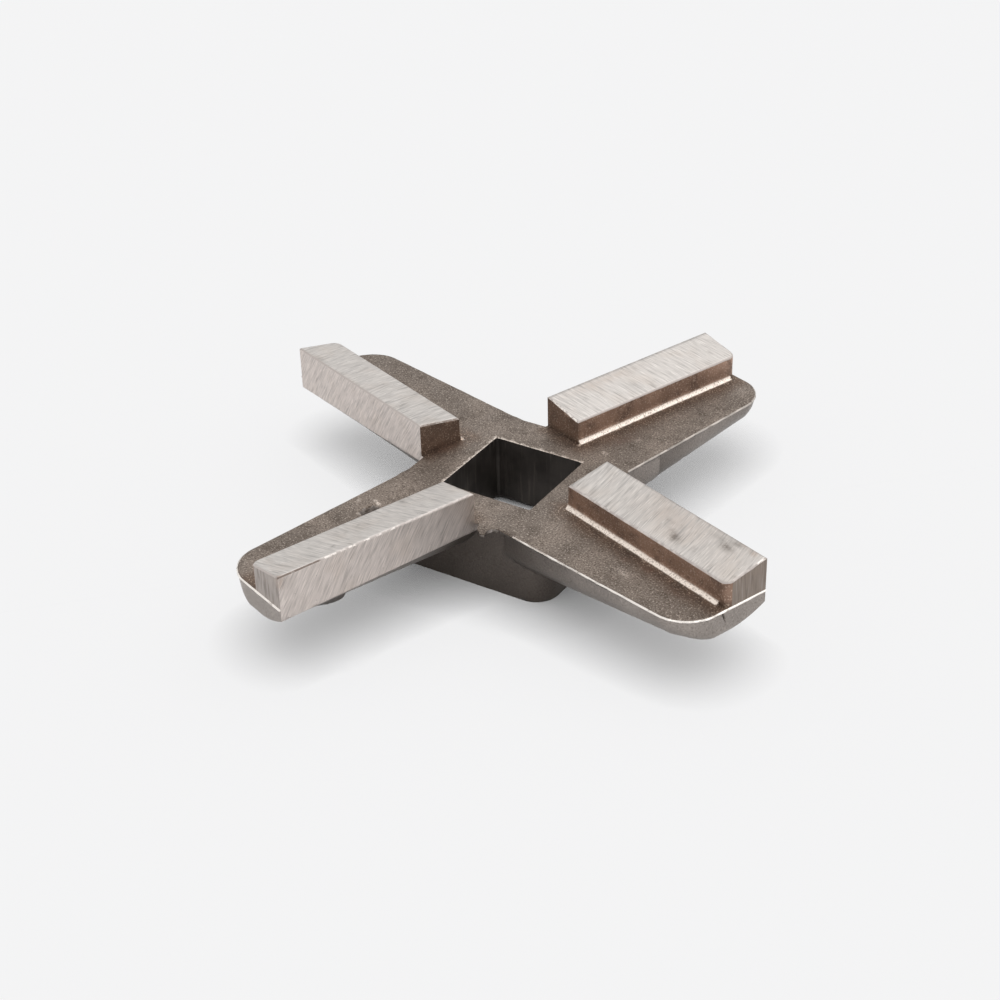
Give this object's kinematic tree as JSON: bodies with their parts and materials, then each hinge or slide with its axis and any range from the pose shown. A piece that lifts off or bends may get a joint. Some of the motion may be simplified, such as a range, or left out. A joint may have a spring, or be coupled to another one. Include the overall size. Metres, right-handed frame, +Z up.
{
  "type": "meat grinder knife",
  "caption": "Cross-shaped cast grinder knife with a square boss, a square drive bore, tapering arms and raised ground cutting lands on their leading sides.",
  "frame": {"origin": "centre of the square bore at the boss's bottom face, on which the knife stands", "axes": "+Z up the bore towards the cutting lands; the bore's flats lie along X and Y; the knife turns anticlockwise seen from above, lands first"},
  "size_m": [0.0602, 0.0602, 0.0108],
  "materials": {
    "cast_steel": "brown-grey casting skin, with ground tops on the lands and ground cutting faces"
  },
  "bodies": {
    "root": {"knife": "cast_steel"}
  },
  "joints": []
}
